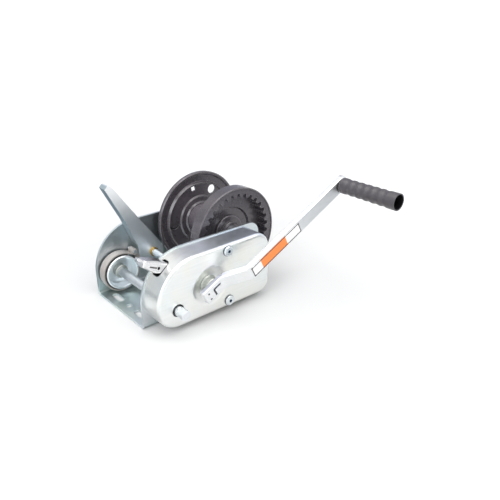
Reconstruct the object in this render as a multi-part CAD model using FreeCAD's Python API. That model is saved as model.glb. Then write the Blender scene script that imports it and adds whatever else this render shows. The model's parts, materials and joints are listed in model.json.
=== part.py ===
import FreeCAD, Part
import math
import os

# Two-speed boat trailer winch, millimetres.
# Frame: +X runs from the brake end towards the reel, +Y runs from the crank
# side to the far side along every shaft, +Z is up.  The origin is the middle
# of the base's underside.  X is set out here from the base's brake end, and
# save() moves every piece back by half the base length.

# ---- frame -----------------------------------------------------------------
FRAME_WIDTH = 134.0          # over both side plates
FRAME_LENGTH = 212.0
FRAME_HEIGHT = 108.5
PLATE = 3.5                  # side plate and base thickness
BEND_OUTER = 7.0
BEND_INNER = 3.5
NOSE_RADIUS = 70.0           # big round corner at the brake end
HEEL_RADIUS = 18.0
HALF = FRAME_WIDTH / 2.0
INSIDE = HALF - PLATE

# ---- base fixing holes -------------------------------------------------------
HOLE_ROWS = (15.5, 196.5)    # X of the front and rear rows
SLOT_PITCH = 66.0
SLOT_LENGTH = 28.0
FIXING_RADIUS = 5.0

# ---- gear case ----------------------------------------------------------------
CASE_DEPTH = 38.0
CASE_SHEET = 2.0
CASE_LOW = (3.0, 8.5)        # X, Z of the lower left corner
CASE_HIGH = (200.7, 107.0)   # X, Z of the upper right corner
CASE_RADII = (33.0, 20.0, 25.0, 64.5)
CASE_EDGE = 5.0
CASE_FACE = -HALF - CASE_DEPTH
CASE_BACK = CASE_FACE + CASE_SHEET
DISH_RADIUS = 31.0           # soft hollow round the high gear shaft
DISH_FLOOR = 15.0
DISH_DEPTH = 5.5
POST_POINTS = ((121.0, 97.8), (122.0, 18.5))
POST_RADIUS = 4.5
SCREW_RADIUS = 2.5

# ---- shafts and gear train ---------------------------------------------------
SHAFT_RADIUS = 5.5
DRIVE_RADIUS = 7.3           # both crank ends are thicker, with two flats
DRIVE_FLAT = 5.6
RUN_GAP = 0.05               # radial clearance of every running fit
BUSH_RADIUS = 8.0
REEL_X = 183.3
REEL_Z = 86.8
HIGH_X = 89.5                # high gear shaft, the crank sits on it
HIGH_Z = 54.5
LOW_ANGLE = math.radians(198.9)   # direction from high to low gear shaft
PRESSURE = math.radians(25.0)
FINE = 2.5                   # module of the gears in the case
COARSE = 4.0                 # module of the reel ring gear
RING_TEETH = 31
IDLER_PINION_TEETH = 9
IDLER_GEAR_TEETH = 32
HIGH_PINION_TEETH = 18
HIGH_GEAR_TEETH = 33
LOW_PINION_TEETH = 14
ADDENDUM = 0.8
DEDENDUM = 1.0
BACKLASH = 0.15              # taken off each side of every tooth

# ---- reel ----------------------------------------------------------------------
AXLE_RADIUS = 6.35
NEAR_RADIUS = 74.5
FAR_RADIUS = 78.0
HUB_RADIUS = 25.0
RING_BODY = 72.0
RING_ROOT = 64.8
RING_TIP = 59.3

# ---- brake ---------------------------------------------------------------------
DRUM_RADIUS = 25.5
BAND_NEAR = 47.0             # the band's two edges, along Y
BAND_BACK = 60.0
LINING_INNER = 25.8
BAND_INNER = 29.2
BAND_OUTER = 31.2

# ---- crank ---------------------------------------------------------------------
CRANK_RADIUS = 246.0
CRANK_ANGLE = 26.2
CRANK_WIDTH = 22.0
CRANK_SHEET = 3.0
ROOT_FACE = -120.0
ARM_FACE = -145.6
FLANGE_DEPTH = 8.3
GRIP_START = -147.2
GRIP_END = -246.3
GRIP_RADIUS = 12.6

Y_AXIS = FreeCAD.Vector(0, 1, 0)


def vec(x, y, z):
    return FreeCAD.Vector(x, y, z)


def block(x0, x1, y0, y1, z0, z1):
    return Part.makeBox(x1 - x0, y1 - y0, z1 - z0, vec(x0, y0, z0))


def rod(x, z, radius, y0, y1):
    return Part.makeCylinder(radius, y1 - y0, vec(x, y0, z), Y_AXIS)


def ring(x, z, outer, inner, y0, y1):
    return rod(x, z, outer, y0, y1).cut(rod(x, z, inner, y0 - 1, y1 + 1))


def lathe(x, z, profile):
    """Turn a closed (radius, y) profile about the Y line through x, z."""
    points = [vec(x + r, y, z) for r, y in profile]
    face = Part.Face(Part.makePolygon(points + [points[0]]))
    return face.revolve(vec(x, 0, z), Y_AXIS, 360)


def hex_prism(x, z, across, y0, y1):
    radius = across / math.sqrt(3)
    points = [vec(x + radius * math.cos(math.radians(60 * i)), y0,
                  z + radius * math.sin(math.radians(60 * i))) for i in range(7)]
    return Part.Face(Part.makePolygon(points)).extrude(vec(0, y1 - y0, 0))


def rounded_wire(corners, place):
    """Wire through (a, b, radius) corners, each rounded by its radius."""
    edges = []
    starts = []
    ends = []
    mids = []
    count = len(corners)
    for i in range(count):
        here = place(corners[i][0], corners[i][1])
        before = place(corners[i - 1][0], corners[i - 1][1])
        after = place(corners[(i + 1) % count][0], corners[(i + 1) % count][1])
        radius = corners[i][2]
        back = (before - here).normalize()
        ahead = (after - here).normalize()
        if radius == 0:
            starts.append(here)
            ends.append(here)
            mids.append(None)
            continue
        half = back.getAngle(ahead) / 2.0
        reach = radius / math.tan(half)
        middle = (back + ahead).normalize()
        centre = here + middle * (radius / math.sin(half))
        starts.append(here + back * reach)
        ends.append(here + ahead * reach)
        mids.append(centre - middle * radius)
    for i in range(count):
        if mids[i] is not None:
            edges.append(Part.Arc(starts[i], mids[i], ends[i]).toShape())
        nxt = (i + 1) % count
        if (starts[nxt] - ends[i]).Length > 1e-6:
            edges.append(Part.makeLine(ends[i], starts[nxt]))
    return Part.Wire(edges)


def plate(corners, y0, y1):
    """Plate with a rounded X, Z outline between y0 and y1."""
    wire = rounded_wire(corners, lambda a, b: vec(a, y0, b))
    return Part.Face(wire).extrude(vec(0, y1 - y0, 0))


def slot_along_y(x, y, length, radius, z0, z1):
    """Upright slot cutter that runs along Y."""
    half = length / 2.0 - radius
    body = block(x - radius, x + radius, y - half, y + half, z0, z1)
    for end in (y - half, y + half):
        body = body.fuse(Part.makeCylinder(radius, z1 - z0, vec(x, end, z0)))
    return body


def involute(angle):
    return math.tan(angle) - angle


def gear_wire(teeth, module, root, tip, x, z, y, phase, slack):
    """Closed involute outline; slack thins (or thickens) each tooth side."""
    pitch = teeth * module / 2.0
    base = pitch * math.cos(PRESSURE)
    half = math.pi / (2 * teeth) - slack / pitch + involute(PRESSURE)
    low = max(base, root)

    def at(radius, angle):
        return vec(x + radius * math.cos(angle), y, z + radius * math.sin(angle))

    def flank(radius):
        return half - involute(math.acos(min(1.0, base / radius)))

    steps = [low + (tip - low) * i / 4.0 for i in range(5)]
    step_angle = 2 * math.pi / teeth
    edges = []
    for n in range(teeth):
        mid = phase + n * step_angle
        rise = [at(r, mid - flank(r)) for r in steps]
        fall = [at(r, mid + flank(r)) for r in reversed(steps)]
        if root < base - 1e-6:
            edges.append(Part.makeLine(at(root, mid - half), rise[0]))
        curve = Part.BSplineCurve()
        curve.interpolate(rise)
        edges.append(curve.toShape())
        edges.append(Part.Arc(rise[-1], at(tip, mid), fall[0]).toShape())
        curve = Part.BSplineCurve()
        curve.interpolate(fall)
        edges.append(curve.toShape())
        foot = flank(low)
        if root < base - 1e-6:
            edges.append(Part.makeLine(fall[-1], at(root, mid + half)))
            foot = half
        here = at(root, mid + foot)
        gap = at(root, mid + step_angle / 2)
        there = at(root, mid + step_angle - foot)
        edges.append(Part.Arc(here, gap, there).toShape())
    return Part.Wire(edges)


def spur(teeth, module, x, z, y0, y1, phase, tip=None, root=None):
    """Spur gear blank with a full set of teeth."""
    pitch = teeth * module / 2.0
    tip = tip or pitch + ADDENDUM * module
    root = root or pitch - DEDENDUM * module
    wire = gear_wire(teeth, module, root, tip, x, z, y0, phase, BACKLASH)
    return Part.Face(wire).extrude(vec(0, y1 - y0, 0))


def meeting_point(ax, az, ar, bx, bz, br):
    """Lower point at distance ar from A and br from B."""
    gap = math.hypot(bx - ax, bz - az)
    along = (ar * ar - br * br + gap * gap) / (2 * gap)
    off = math.sqrt(ar * ar - along * along)
    ux = (bx - ax) / gap
    uz = (bz - az) / gap
    return ax + ux * along + uz * off, az + uz * along - ux * off


def crank_place(shape):
    """Turn a shape drawn along +X about the high gear shaft to the arm."""
    shape.translate(vec(HIGH_X, 0, HIGH_Z))
    shape.rotate(vec(HIGH_X, 0, HIGH_Z), Y_AXIS, -CRANK_ANGLE)
    return shape


def save(name, shape):
    if shape.ShapeType == "Compound" and len(shape.Solids) == 1:
        shape = shape.Solids[0]
    shape.translate(vec(-FRAME_LENGTH / 2, 0, 0))
    shape.exportStep("parts/" + name + ".step")


os.makedirs("parts", exist_ok=True)

# Shaft positions that put every gear pair at its pitch distance.
LOW_DISTANCE = (HIGH_GEAR_TEETH + LOW_PINION_TEETH) * FINE / 2.0
LOW_X = HIGH_X + LOW_DISTANCE * math.cos(LOW_ANGLE)
LOW_Z = HIGH_Z + LOW_DISTANCE * math.sin(LOW_ANGLE)
IDLER_TO_HIGH = (IDLER_GEAR_TEETH + HIGH_PINION_TEETH) * FINE / 2.0
IDLER_TO_REEL = (RING_TEETH - IDLER_PINION_TEETH) * COARSE / 2.0
IDLER_X, IDLER_Z = meeting_point(HIGH_X, HIGH_Z, IDLER_TO_HIGH,
                                 REEL_X, REEL_Z, IDLER_TO_REEL)

# ---- frame: one bent channel, base below, a plate up each side ---------------
channel = rounded_wire([(-HALF, FRAME_HEIGHT, 0), (-HALF, 0, BEND_OUTER),
                        (HALF, 0, BEND_OUTER), (HALF, FRAME_HEIGHT, 0),
                        (INSIDE, FRAME_HEIGHT, 0), (INSIDE, PLATE, BEND_INNER),
                        (-INSIDE, PLATE, BEND_INNER), (-INSIDE, FRAME_HEIGHT, 0)],
                       lambda a, b: vec(0, a, b))
frame = Part.Face(channel).extrude(vec(FRAME_LENGTH, 0, 0))
frame = frame.common(plate([(0, 0, 0), (FRAME_LENGTH, 0, 0),
                            (FRAME_LENGTH, FRAME_HEIGHT, HEEL_RADIUS),
                            (0, FRAME_HEIGHT, NOSE_RADIUS)], -HALF - 1, HALF + 1))
for row in HOLE_ROWS:
    for side in (-SLOT_PITCH / 2, SLOT_PITCH / 2):
        frame = frame.cut(slot_along_y(row, side, SLOT_LENGTH, FIXING_RADIUS,
                                       -1, PLATE + 1))
    frame = frame.cut(Part.makeCylinder(FIXING_RADIUS, PLATE + 2, vec(row, 0, -1)))
for sx, sz in ((HIGH_X, HIGH_Z), (LOW_X, LOW_Z)):
    frame = frame.cut(rod(sx, sz, BUSH_RADIUS, -HALF - 1, HALF + 1))
frame = frame.cut(rod(IDLER_X, IDLER_Z, BUSH_RADIUS, -HALF - 1, -INSIDE + 1))
frame = frame.cut(rod(REEL_X, REEL_Z, AXLE_RADIUS, -HALF - 1, HALF + 1))
POST_SHANK = 3.0
for px, pz in POST_POINTS:
    frame = frame.cut(rod(px, pz, POST_SHANK, -HALF - 1, -INSIDE + 1))
PAWL_X = 50.0
PAWL_Z = 86.0
PAWL_PIN = 4.0
frame = frame.cut(rod(PAWL_X, PAWL_Z, PAWL_PIN, -HALF - 1, -INSIDE + 1))
ANCHOR_X = 58.8
ANCHOR_Z = 62.2
ANCHOR_PIN = 3.0
frame = frame.cut(rod(ANCHOR_X, ANCHOR_Z, ANCHOR_PIN, INSIDE - 1, HALF + 1))
save("frame", frame)

# ---- plain bushes that carry the three shafts --------------------------------
BUSH_FLANGE = 10.5
BUSH_LIP = 1.5
bushes = []
for sx, sz in ((HIGH_X, HIGH_Z), (LOW_X, LOW_Z), (IDLER_X, IDLER_Z)):
    body = rod(sx, sz, BUSH_RADIUS, -HALF, -INSIDE)
    body = body.fuse(rod(sx, sz, BUSH_FLANGE, -INSIDE, -INSIDE + BUSH_LIP))
    bushes.append(body.cut(rod(sx, sz, SHAFT_RADIUS + RUN_GAP, -HALF - 1, -INSIDE + 9)))
for sx, sz in ((HIGH_X, HIGH_Z), (LOW_X, LOW_Z)):
    body = rod(sx, sz, BUSH_RADIUS, INSIDE, HALF)
    body = body.fuse(rod(sx, sz, BUSH_FLANGE, HALF, HALF + BUSH_LIP))
    bushes.append(body.cut(rod(sx, sz, SHAFT_RADIUS + RUN_GAP, INSIDE - 1, HALF + 9)))
save("shaft_bushes", Part.makeCompound(bushes))

# ---- gear case: drawn cup over the near side plate ---------------------------
def case_outline(inset):
    low = (CASE_LOW[0] + inset, CASE_LOW[1] + inset)
    high = (CASE_HIGH[0] - inset, CASE_HIGH[1] - inset)
    return [(low[0], low[1], CASE_RADII[0] - inset),
            (high[0], low[1], CASE_RADII[1] - inset),
            (high[0], high[1], CASE_RADII[2] - inset),
            (low[0], high[1], CASE_RADII[3] - inset)]


def case_body(inset, face, edge):
    body = plate(case_outline(inset), face, -HALF)
    rim = [e for e in body.Edges if e.BoundBox.YMax < face + 0.01]
    return body.makeFillet(edge, rim)


def dish(face):
    """Soft round hollow below a face, with no sharp edge at rim or floor."""
    count = 8
    points = []
    for i in range(count + 1):
        part = i / count
        radius = DISH_RADIUS + (DISH_FLOOR - DISH_RADIUS) * part
        depth = DISH_DEPTH * (1 - math.cos(math.pi * part)) / 2
        points.append(vec(HIGH_X + radius, face + depth, HIGH_Z))
    curve = Part.BSplineCurve()
    curve.interpolate(Points=points, InitialTangent=vec(-1, 0, 0), FinalTangent=vec(-1, 0, 0))
    rim = vec(HIGH_X + DISH_RADIUS, face - 0.5, HIGH_Z)
    top = vec(HIGH_X, face - 0.5, HIGH_Z)
    floor = vec(HIGH_X, face + DISH_DEPTH, HIGH_Z)
    wire = Part.Wire([Part.makeLine(rim, points[0]), curve.toShape(),
                      Part.makeLine(points[-1], floor), Part.makeLine(floor, top),
                      Part.makeLine(top, rim)])
    return Part.Face(wire).revolve(vec(HIGH_X, 0, HIGH_Z), Y_AXIS, 360)


cover = case_body(0, CASE_FACE, CASE_EDGE)
hollow = case_body(CASE_SHEET, CASE_BACK, CASE_EDGE - CASE_SHEET)
hollow = hollow.fuse(plate(case_outline(CASE_SHEET), -HALF - 0.5, -HALF + 1))
hollow = hollow.cut(dish(CASE_BACK))
cover = cover.cut(dish(CASE_FACE)).cut(hollow)
HIGH_HOLE = 7.8
LOW_HOLE = 9.3
cover = cover.cut(rod(HIGH_X, HIGH_Z, HIGH_HOLE, CASE_FACE - 1, CASE_BACK + 9))
cover = cover.cut(rod(LOW_X, LOW_Z, LOW_HOLE, CASE_FACE - 1, CASE_BACK + 1))
for px, pz in POST_POINTS:
    cover = cover.cut(rod(px, pz, SCREW_RADIUS, CASE_FACE - 1, CASE_BACK + 1))

# The pawl's thumb tab leaves the case through a window in the nose wall.
TAB_ANGLE = 27.5


def tab_place(shape):
    """Stand a shape drawn along -X from the pawl pin up at the tab's angle."""
    shape.rotate(vec(0, 0, 0), Y_AXIS, TAB_ANGLE)
    shape.translate(vec(PAWL_X, 0, PAWL_Z))
    return shape


WINDOW_LENGTH = 47.5
WINDOW_RADIUS = 6.5
window = block(-60.0, WINDOW_LENGTH - 60.0, -87.0, -68.3, -17.2, 6.7)
window = window.makeFillet(WINDOW_RADIUS, [e for e in window.Edges
                                           if e.BoundBox.XLength > WINDOW_LENGTH - 1])
cover = cover.cut(tab_place(window))
save("gear_cover", cover)

# Bearing cup inside the cover that holds the idler shaft's outer end.
CUP_DEPTH = 7.0
save("idler_cup", ring(IDLER_X, IDLER_Z, 9.0, SHAFT_RADIUS + RUN_GAP,
                       CASE_BACK, CASE_BACK + CUP_DEPTH))

# ---- cover posts and security screws -----------------------------------------
posts = []
screws = []
washers = []
HEAD_RADIUS = 7.8
HEAD_FLAT = 6.0              # flat disc in the middle of the domed head
HEAD_HEIGHT = 3.6
WASHER = 1.3
SOCKET = 2.3
SOCKET_DEPTH = 2.6
for px, pz in POST_POINTS:
    post = rod(px, pz, POST_RADIUS, CASE_BACK, -HALF)
    post = post.fuse(rod(px, pz, POST_SHANK, -HALF, -INSIDE + 1.0))
    posts.append(post.cut(rod(px, pz, SCREW_RADIUS, CASE_BACK - 1, CASE_BACK + 14)))
    seat = CASE_FACE - WASHER
    washers.append(ring(px, pz, HEAD_RADIUS + 0.3, SCREW_RADIUS, seat, CASE_FACE))
    dome = [(0, seat), (HEAD_RADIUS, seat), (HEAD_RADIUS, seat - 0.8),
            (HEAD_RADIUS - 0.6, seat - 1.4), (HEAD_FLAT, CASE_FACE - HEAD_HEIGHT),
            (0, CASE_FACE - HEAD_HEIGHT)]
    screw = lathe(px, pz, dome).fuse(rod(px, pz, SCREW_RADIUS, seat, CASE_BACK + 13))
    socket_floor = CASE_FACE - HEAD_HEIGHT + SOCKET_DEPTH
    socket = hex_prism(px, pz, SOCKET * math.sqrt(3), CASE_FACE - HEAD_HEIGHT - 1, socket_floor)
    screws.append(screw.cut(socket))
save("cover_posts", Part.makeCompound(posts))
save("cover_screws", Part.makeCompound(screws))
save("screw_washers", Part.makeCompound(washers))

# ---- reel axle ------------------------------------------------------------------
AXLE_HEAD = 10.0
AXLE_HEAD_BACK = -HALF - 5.5
NUT_ACROSS = 19.0
NUT_HEIGHT = 9.0
SPACER_RADIUS = 11.5
SPACER_GAP = 0.5
REEL_NEAR_END = -36.0
REEL_FAR_END = 54.0
axle = rod(REEL_X, REEL_Z, AXLE_RADIUS, AXLE_HEAD_BACK, HALF + 12.0)
axle = axle.fuse(rod(REEL_X, REEL_Z, AXLE_HEAD, AXLE_HEAD_BACK, -HALF))
save("reel_axle", axle)
nut = hex_prism(REEL_X, REEL_Z, NUT_ACROSS, HALF, HALF + NUT_HEIGHT)
save("axle_nut", nut.cut(rod(REEL_X, REEL_Z, AXLE_RADIUS, HALF - 1, HALF + 10)))
spacers = [ring(REEL_X, REEL_Z, SPACER_RADIUS, AXLE_RADIUS, -INSIDE, REEL_NEAR_END - SPACER_GAP),
           ring(REEL_X, REEL_Z, SPACER_RADIUS, AXLE_RADIUS, REEL_FAR_END + SPACER_GAP, INSIDE)]
save("axle_spacers", Part.makeCompound(spacers))

# ---- reel -----------------------------------------------------------------------
near = lathe(REEL_X, REEL_Z, [
    (NEAR_RADIUS - 1.0, -50.4), (NEAR_RADIUS, -49.4), (NEAR_RADIUS, -31.5),
    (NEAR_RADIUS - 2.0, -29.5), (41.0, -29.5), (38.5, -26.5), (18.0, -26.5),
    (18.0, -29.0), (37.4, -29.0), (40.0, -32.0), (RING_BODY, -32.0),
    (RING_BODY, -49.6), (RING_BODY + 0.8, -50.4)])
save("reel_near_flange", near)

to_idler = math.atan2(IDLER_Z - REEL_Z, IDLER_X - REEL_X)
teeth_hole = gear_wire(RING_TEETH, COARSE, RING_TIP, RING_ROOT, REEL_X, REEL_Z,
                       -49.0, to_idler, -BACKLASH)
ring_gear = rod(REEL_X, REEL_Z, RING_BODY, -48.8, -32.0)
ring_gear = ring_gear.cut(Part.Face(teeth_hole).extrude(vec(0, 18, 0)))
save("ring_gear", ring_gear)

far = lathe(REEL_X, REEL_Z, [
    (22.0, 42.0), (27.0, 42.0), (29.0, 44.5), (37.0, 44.5), (39.0, 46.8),
    (57.5, 46.8), (60.0, 44.6), (62.5, 48.4), (71.5, 48.4), (74.0, 45.6),
    (76.6, 45.6), (FAR_RADIUS, 47.2), (FAR_RADIUS, 51.6), (76.6, 53.4),
    (73.0, 53.4), (71.0, 51.0), (61.0, 51.0), (58.8, 49.4), (38.0, 49.4),
    (36.0, 47.2), (22.0, 47.2)])
# A square hole, a round hole and a lanced crescent hold the rope's end.
ROPE_SQUARE = 3.7            # half side
ROPE_SQUARE_REACH = 53.0     # from the reel's axis
ROPE_SQUARE_TURN = -11.0
ROPE_HOLE_X = 26.4
ROPE_HOLE_Z = 44.1
ROPE_HOLE = 7.4
LANCE_X = -49.5
LANCE_Z = 1.5
LANCE_OUTER = 9.8
LANCE_INNER = 7.2
square = block(REEL_X - ROPE_SQUARE, REEL_X + ROPE_SQUARE, 40, 60,
               REEL_Z + ROPE_SQUARE_REACH - ROPE_SQUARE,
               REEL_Z + ROPE_SQUARE_REACH + ROPE_SQUARE)
square.rotate(vec(REEL_X, 0, REEL_Z), Y_AXIS, ROPE_SQUARE_TURN)
far = far.cut(square)
far = far.cut(rod(REEL_X + ROPE_HOLE_X, REEL_Z + ROPE_HOLE_Z, ROPE_HOLE, 40, 60))
lance = ring(REEL_X + LANCE_X, REEL_Z + LANCE_Z, LANCE_OUTER, LANCE_INNER, 40, 60)
lance = lance.common(block(REEL_X - 62, REEL_X - 36, 40, 60, REEL_Z - 9, REEL_Z - 0.5))
far = far.cut(lance)
save("reel_far_flange", far)

save("reel_hub_tube", ring(REEL_X, REEL_Z, HUB_RADIUS, 22.0, -26.5, 42.0))
AXLE_BORE = AXLE_RADIUS + RUN_GAP
near_hub = lathe(REEL_X, REEL_Z, [
    (AXLE_BORE, REEL_NEAR_END), (15.4, REEL_NEAR_END), (16.6, -35.0), (16.6, -32.4),
    (18.0, -31.8), (25.4, -31.8), (26.2, -31.0), (26.2, -29.0), (18.0, -29.0),
    (18.0, -26.5), (22.0, -26.5), (22.0, -18.0), (AXLE_BORE, -18.0)])
save("reel_near_hub", near_hub)
far_hub = lathe(REEL_X, REEL_Z, [
    (AXLE_BORE, 34.0), (22.0, 34.0), (22.0, 47.2), (25.0, 47.2), (25.0, 50.0),
    (17.0, 50.0), (15.0, REEL_FAR_END), (AXLE_BORE, REEL_FAR_END)])
save("reel_far_hub", far_hub)

# ---- idler shaft ------------------------------------------------------------------
IDLER_GEAR_BACK = -77.0
IDLER_GEAR_FACE = -86.0
idler = rod(IDLER_X, IDLER_Z, SHAFT_RADIUS, CASE_BACK + 0.6, -33.4)
idler = idler.fuse(rod(IDLER_X, IDLER_Z, 7.6, -61.5, -51.0))
idler = idler.fuse(rod(IDLER_X, IDLER_Z, 9.6, IDLER_GEAR_BACK, -67.6))
save("idler_shaft", idler)
idler_pinion = spur(IDLER_PINION_TEETH, COARSE, IDLER_X, IDLER_Z, -51.0, -33.4,
                    to_idler, tip=20.4, root=14.3)
save("idler_pinion", idler_pinion.cut(rod(IDLER_X, IDLER_Z, SHAFT_RADIUS, -52, -33)))
high_to_idler = math.atan2(IDLER_Z - HIGH_Z, IDLER_X - HIGH_X)
idler_gear = spur(IDLER_GEAR_TEETH, FINE, IDLER_X, IDLER_Z, IDLER_GEAR_FACE,
                  IDLER_GEAR_BACK, high_to_idler + math.pi)
WEB_HOLES = 5
WEB_HOLE = 6.5
WEB_CIRCLE = 24.5
WEB_TURN = 0.3


def lighten(gear, x, z, y0, y1):
    """Ring of round holes through a gear's web."""
    for i in range(WEB_HOLES):
        turn = 2 * math.pi * i / WEB_HOLES + WEB_TURN
        gear = gear.cut(rod(x + WEB_CIRCLE * math.cos(turn), z + WEB_CIRCLE * math.sin(turn),
                            WEB_HOLE, y0, y1))
    return gear


idler_gear = idler_gear.cut(rod(IDLER_X, IDLER_Z, SHAFT_RADIUS, -87, -76))
save("idler_gear", lighten(idler_gear, IDLER_X, IDLER_Z, -87, -76))

# ---- high gear shaft ---------------------------------------------------------------
HIGH_GEAR_FACE = -96.5
HIGH_GEAR_BACK = -88.5
SHAFT_END = HALF + 5.0
HIGH_END = ROOT_FACE + CRANK_SHEET + 3.0
high = rod(HIGH_X, HIGH_Z, SHAFT_RADIUS, HIGH_GEAR_FACE, SHAFT_END)
high = high.fuse(rod(HIGH_X, HIGH_Z, DRIVE_RADIUS, HIGH_END, HIGH_GEAR_FACE))
save("high_shaft", high)
high_pinion = spur(HIGH_PINION_TEETH, FINE, HIGH_X, HIGH_Z, -87.0, -76.0,
                   high_to_idler + math.pi / HIGH_PINION_TEETH)
save("high_pinion", high_pinion.cut(rod(HIGH_X, HIGH_Z, SHAFT_RADIUS, -88, -75)))
high_gear = spur(HIGH_GEAR_TEETH, FINE, HIGH_X, HIGH_Z, HIGH_GEAR_FACE,
                 HIGH_GEAR_BACK, LOW_ANGLE)
high_gear = high_gear.fuse(rod(HIGH_X, HIGH_Z, 12.0, HIGH_GEAR_BACK, -87.0))
high_gear = high_gear.cut(rod(HIGH_X, HIGH_Z, SHAFT_RADIUS, -98, -86))
save("high_gear", lighten(high_gear, HIGH_X, HIGH_Z, -98, -86))

RATCHET_TEETH = 12
RATCHET_TIP = 23.4
RATCHET_ROOT = 18.5
RATCHET_PHASE = 20.0          # puts a tooth gap under the pawl's nose
ratchet_points = []
for i in range(RATCHET_TEETH):
    start = math.radians(360.0 / RATCHET_TEETH * i + RATCHET_PHASE)
    for radius, turn in ((RATCHET_TIP, -0.10), (RATCHET_TIP, -0.04), (RATCHET_ROOT, 0.0)):
        ratchet_points.append(vec(HIGH_X + radius * math.cos(start + turn), -75.0,
                                  HIGH_Z + radius * math.sin(start + turn)))
ratchet = Part.Face(Part.makePolygon(ratchet_points + [ratchet_points[0]]))
ratchet = ratchet.extrude(vec(0, 6.0, 0))
ratchet = ratchet.fuse(rod(HIGH_X, HIGH_Z, 11.0, -76.0, -75.0))
ratchet = ratchet.cut(rod(HIGH_X, HIGH_Z, SHAFT_RADIUS, -77, -68))
save("ratchet_wheel", ratchet)

COLLAR_RADIUS = 12.5
COLLAR_BACK = CASE_FACE + DISH_DEPTH - 0.4
HUB_BACK = -111.6
collar = lathe(HIGH_X, HIGH_Z, [
    (DRIVE_RADIUS, COLLAR_BACK), (COLLAR_RADIUS + 1.2, COLLAR_BACK),
    (COLLAR_RADIUS + 0.4, COLLAR_BACK - 0.8), (COLLAR_RADIUS, COLLAR_BACK - 2.0),
    (COLLAR_RADIUS, HUB_BACK + 0.8), (COLLAR_RADIUS - 0.8, HUB_BACK),
    (DRIVE_RADIUS, HUB_BACK)])
save("crank_collar", collar)

# Spring rings hold both long shafts against the far side plate's bushes.
CLIP_RADIUS = 9.4
CLIP_MOUTH = 3.6


def shaft_clip(x, z):
    clip = ring(x, z, CLIP_RADIUS, SHAFT_RADIUS, HALF + 2.2, HALF + 3.6)
    mouth = block(x - CLIP_MOUTH, x + CLIP_MOUTH, HALF + 2, HALF + 4, z - CLIP_RADIUS - 1, z)
    return clip.cut(mouth)


save("high_shaft_clip", shaft_clip(HIGH_X, HIGH_Z))
save("low_shaft_clip", shaft_clip(LOW_X, LOW_Z))

# ---- low gear shaft, pinion and brake drum ----------------------------------------
LOW_END = -123.6
LOW_STEP = -97.0
DRIVE_LENGTH = 12.0          # the two flats that take the crank in low gear
low = rod(LOW_X, LOW_Z, SHAFT_RADIUS, LOW_STEP, SHAFT_END)
low = low.fuse(rod(LOW_X, LOW_Z, DRIVE_RADIUS, LOW_END, LOW_STEP))
for side in (-1, 1):
    cutter = Part.makeBox(20, DRIVE_LENGTH + 1, 4,
                          vec(-10, LOW_END - 1, -2 + side * (DRIVE_FLAT + 2)))
    cutter.rotate(vec(0, 0, 0), Y_AXIS, -CRANK_ANGLE)
    cutter.translate(vec(LOW_X, 0, LOW_Z))
    low = low.cut(cutter)
save("low_shaft", low)
# Spacer tube between the near plate's bush and the brake drum's hub.
SLEEVE_RADIUS = 7.0
SLEEVE_NEAR = -INSIDE + BUSH_LIP + 0.5
HUB_NEAR = 48.0
save("low_shaft_sleeve", ring(LOW_X, LOW_Z, SLEEVE_RADIUS, SHAFT_RADIUS, SLEEVE_NEAR, HUB_NEAR))
low_pinion = spur(LOW_PINION_TEETH, FINE, LOW_X, LOW_Z, LOW_STEP, -88.0,
                  LOW_ANGLE + math.pi + math.pi / LOW_PINION_TEETH)
low_pinion = low_pinion.fuse(rod(LOW_X, LOW_Z, 9.0, -88.0, -67.6))
save("low_pinion", low_pinion.cut(rod(LOW_X, LOW_Z, SHAFT_RADIUS, -103, -67)))
DRUM_FACE = 43.0
DRUM_BACK = 60.5
DRUM_INNER = 23.4
DRUM_FLOOR = DRUM_BACK - 2.5
LIP = 1.9                    # rolled lip round the drum's mouth
LIP_RADIUS = 25.2
DRAIN_HOLE = 1.5
drum = lathe(LOW_X, LOW_Z, [
    (DRUM_INNER, DRUM_FACE + LIP), (DRUM_RADIUS, DRUM_FACE + LIP),
    (DRUM_RADIUS, DRUM_BACK - 1.0), (DRUM_RADIUS - 1.0, DRUM_BACK),
    (SHAFT_RADIUS, DRUM_BACK), (SHAFT_RADIUS, DRUM_FLOOR), (DRUM_INNER - 3.0, DRUM_FLOOR),
    (DRUM_INNER - 0.9, DRUM_FLOOR - 0.9), (DRUM_INNER, DRUM_FLOOR - 3.0)])
drum = drum.fuse(Part.makeTorus(LIP_RADIUS, LIP, vec(LOW_X, DRUM_FACE + LIP, LOW_Z), Y_AXIS))
drum = drum.cut(rod(LOW_X + 9.0, LOW_Z - 13.0, DRAIN_HOLE, DRUM_FLOOR - 2, DRUM_BACK + 2))
save("brake_drum", drum)
HUB_DISC = 10.4
drum_hub = lathe(LOW_X, LOW_Z, [
    (SHAFT_RADIUS, HUB_NEAR), (HUB_DISC - 0.8, HUB_NEAR), (HUB_DISC, HUB_NEAR + 0.8),
    (HUB_DISC, DRUM_FLOOR), (SHAFT_RADIUS, DRUM_FLOOR)])
save("drum_hub", drum_hub)

# ---- brake band and lining ---------------------------------------------------------
BAND_GAP_LOW = -4.0
BAND_GAP_HIGH = 66.0


def open_ring(outer, inner, y0, y1, low_angle, high_angle):
    """Ring round the drum with the sector between two angles left out."""
    reach = 60.0
    count = 6
    points = [vec(LOW_X, y0 - 1, LOW_Z)]
    for i in range(count + 1):
        turn = math.radians(low_angle + (high_angle - low_angle) * i / count)
        points.append(vec(LOW_X + reach * math.cos(turn), y0 - 1,
                          LOW_Z + reach * math.sin(turn)))
    sector = Part.Face(Part.makePolygon(points + [points[0]]))
    sector = sector.extrude(vec(0, y1 - y0 + 2, 0))
    return ring(LOW_X, LOW_Z, outer, inner, y0, y1).cut(sector)


lining = open_ring(BAND_INNER, LINING_INNER, BAND_NEAR + 0.6, BAND_BACK - 0.6,
                    BAND_GAP_LOW + 2, BAND_GAP_HIGH - 2)
save("brake_lining", lining)


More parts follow.
